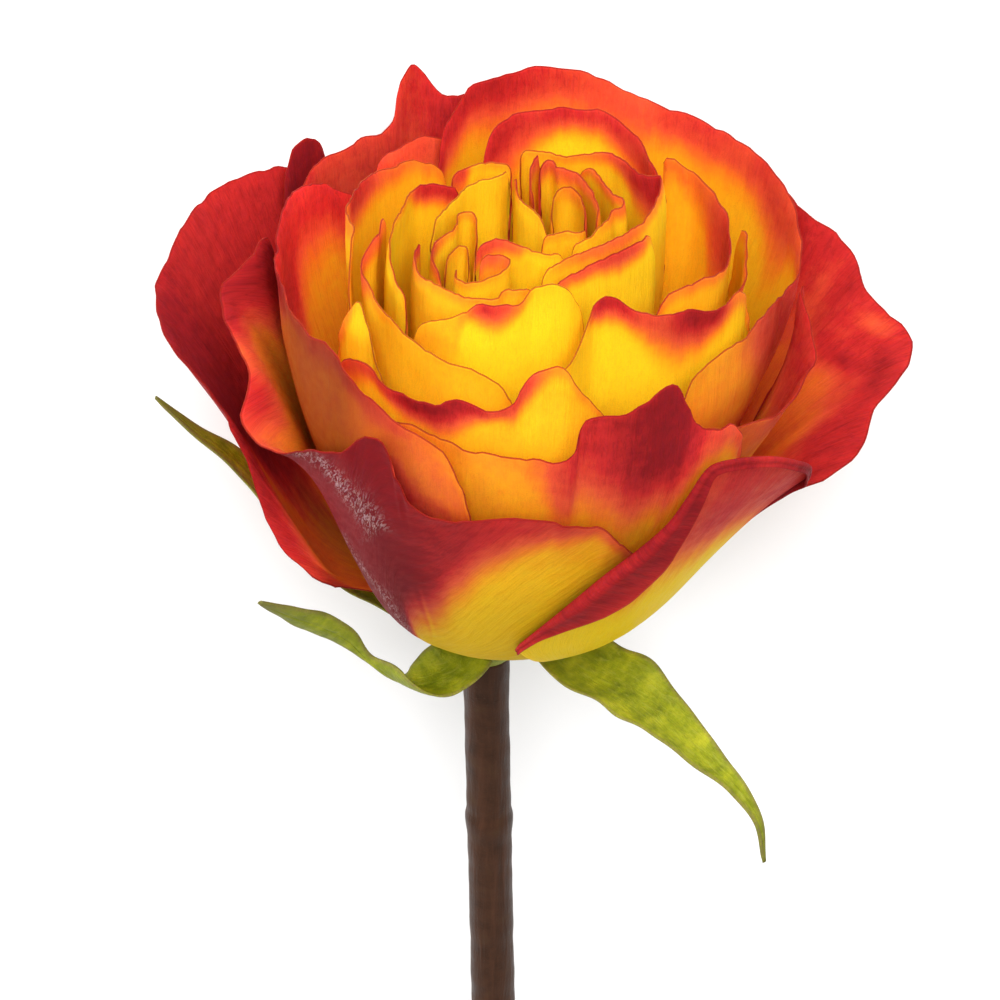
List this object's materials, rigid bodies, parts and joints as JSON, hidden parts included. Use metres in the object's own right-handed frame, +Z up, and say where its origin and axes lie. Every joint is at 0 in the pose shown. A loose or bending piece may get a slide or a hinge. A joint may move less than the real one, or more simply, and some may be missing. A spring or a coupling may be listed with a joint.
{
  "type": "cut rose flower",
  "caption": "Open cut rose lying on a surface: layered curled petals, yellow at the heart and red at the edges, with green sepals and a bare stem.",
  "frame": {"origin": "middle of the flower's footprint, on the surface it lies on", "axes": "+Y runs along the flower from the cut end of the stem to the heart of the bloom, +X to the right, +Z up from the surface"},
  "size_m": [0.1016, 0.2094, 0.0832],
  "materials": {
    "petal_guard": "velvety petal, crimson and maroon outside, red to orange inside",
    "petal_outer": "velvety petal, red rim running into orange and yellow",
    "petal_inner": "velvety petal, golden yellow with a red rim",
    "petal_heart": "velvety petal, yellow with orange and red rims",
    "sepal": "matt yellow-green leaf with faint veins",
    "stem": "dark brown-green bark, slightly waxy"
  },
  "bodies": {
    "root": {"guard_front_left": "petal_guard", "guard_front_right": "petal_guard", "guard_left": "petal_guard", "guard_right": "petal_guard", "guard_under_left": "petal_guard", "guard_under_right": "petal_guard", "heart_back_left": "petal_heart", "heart_bud_left": "petal_heart", "heart_bud_right": "petal_heart", "heart_cup_left": "petal_heart", "heart_curl": "petal_heart", "heart_fold_left": "petal_heart", "heart_fold_middle": "petal_heart", "heart_fold_right": "petal_heart", "heart_inner_right": "petal_heart", "heart_lip_right": "petal_heart", "heart_pocket": "petal_heart", "heart_ring_right": "petal_heart", "heart_spine": "petal_heart", "heart_wing_middle": "petal_heart", "heart_wing_right": "petal_heart", "petal_back_inner": "petal_inner", "petal_back_left": "petal_outer", "petal_back_right": "petal_outer", "petal_front": "petal_outer", "petal_front_right": "petal_inner", "petal_front_second": "petal_inner", "petal_front_third": "petal_inner", "petal_front_yellow": "petal_inner", "petal_left": "petal_outer", "petal_left_corner": "petal_inner", "petal_left_inner": "petal_heart", "petal_left_second": "petal_inner", "petal_right": "petal_outer", "petal_right_second": "petal_inner", "petal_right_third": "petal_inner", "receptacle": "sepal", "sepal_front_left": "sepal", "sepal_left": "sepal", "sepal_right": "sepal", "sepal_under_left": "sepal", "sepal_under_right": "sepal", "stem": "stem"}
  },
  "joints": []
}
